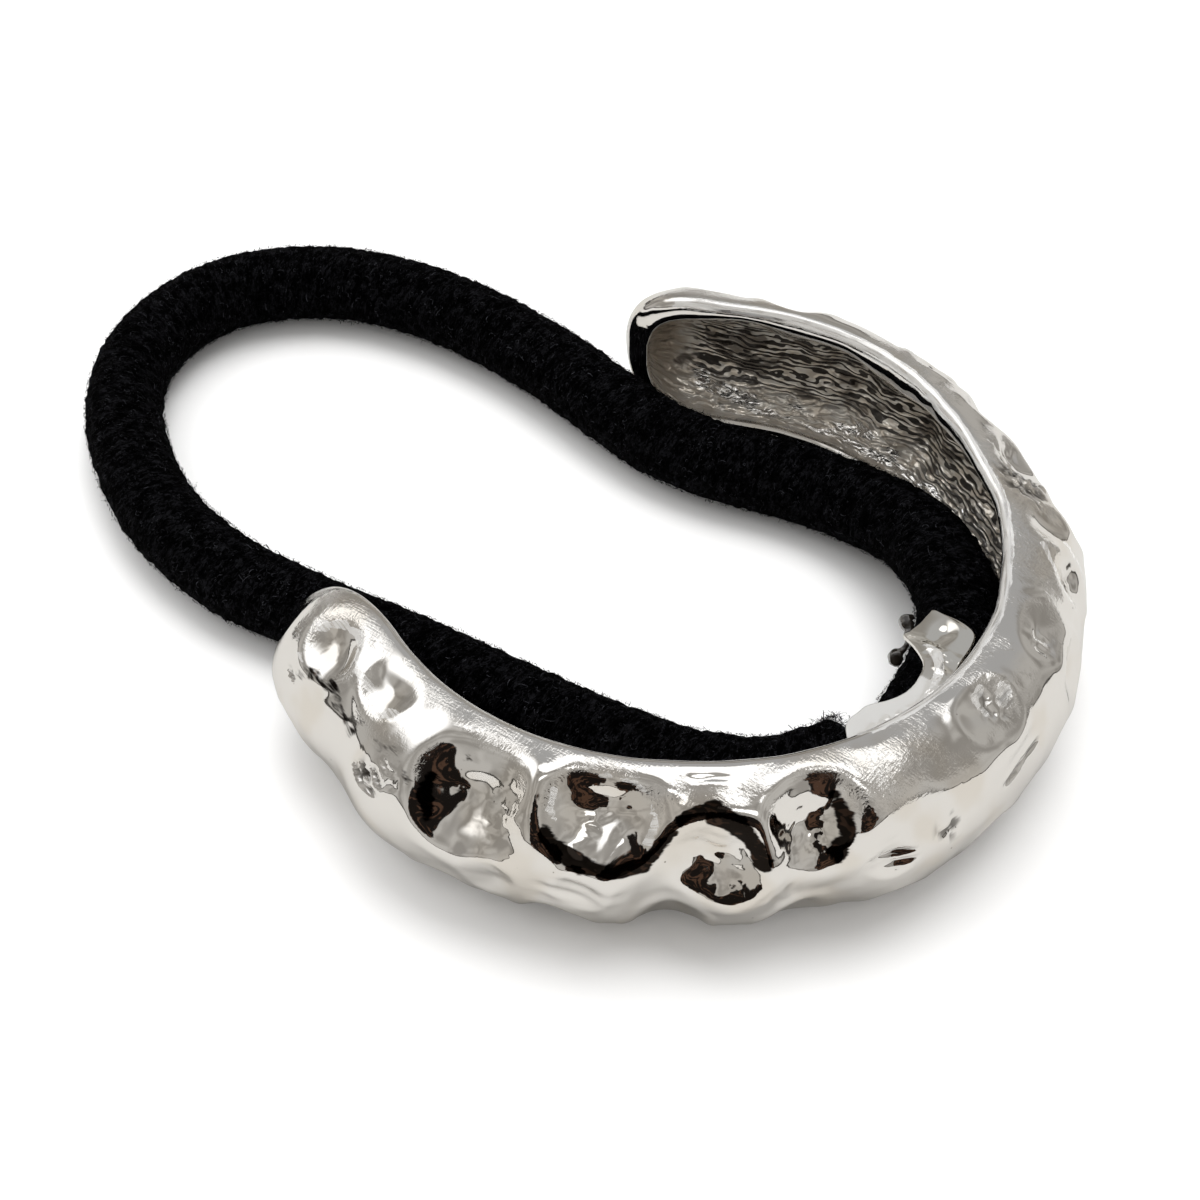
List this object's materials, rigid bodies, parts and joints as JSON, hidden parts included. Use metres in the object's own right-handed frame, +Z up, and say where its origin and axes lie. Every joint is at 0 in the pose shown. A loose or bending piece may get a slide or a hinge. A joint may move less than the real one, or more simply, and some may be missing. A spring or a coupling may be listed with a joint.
{
  "type": "ponytail cuff",
  "caption": "Hammered silver-coloured C-shaped channel cuff for a ponytail, with a bent keeper strap and a thick black elastic loop glued inside it.",
  "frame": {"origin": "on the floor, under the middle of the cuff's own box without its elastic", "axes": "+Z up, the ring's axis, as the cuff lies on its side; the front of the cuff faces -Y and its two arms end towards +Y, where the elastic loops out; X across the cuff, with the keeper's head on the +X side of the front"},
  "size_m": [0.0472, 0.0687, 0.0106],
  "materials": {
    "cuff_metal": "polished cast silver-coloured metal, hammered and lightly scratched",
    "keeper_metal": "polished bent silver-coloured strap",
    "elastic_fabric": "matte black wound yarn over elastic, slightly fuzzy",
    "joint_glue": "dark clear glue, glossy"
  },
  "bodies": {
    "root": {"cuff_shell": "cuff_metal", "keeper": "keeper_metal", "elastic_loop": "elastic_fabric", "joint_glue": "joint_glue"}
  },
  "joints": []
}
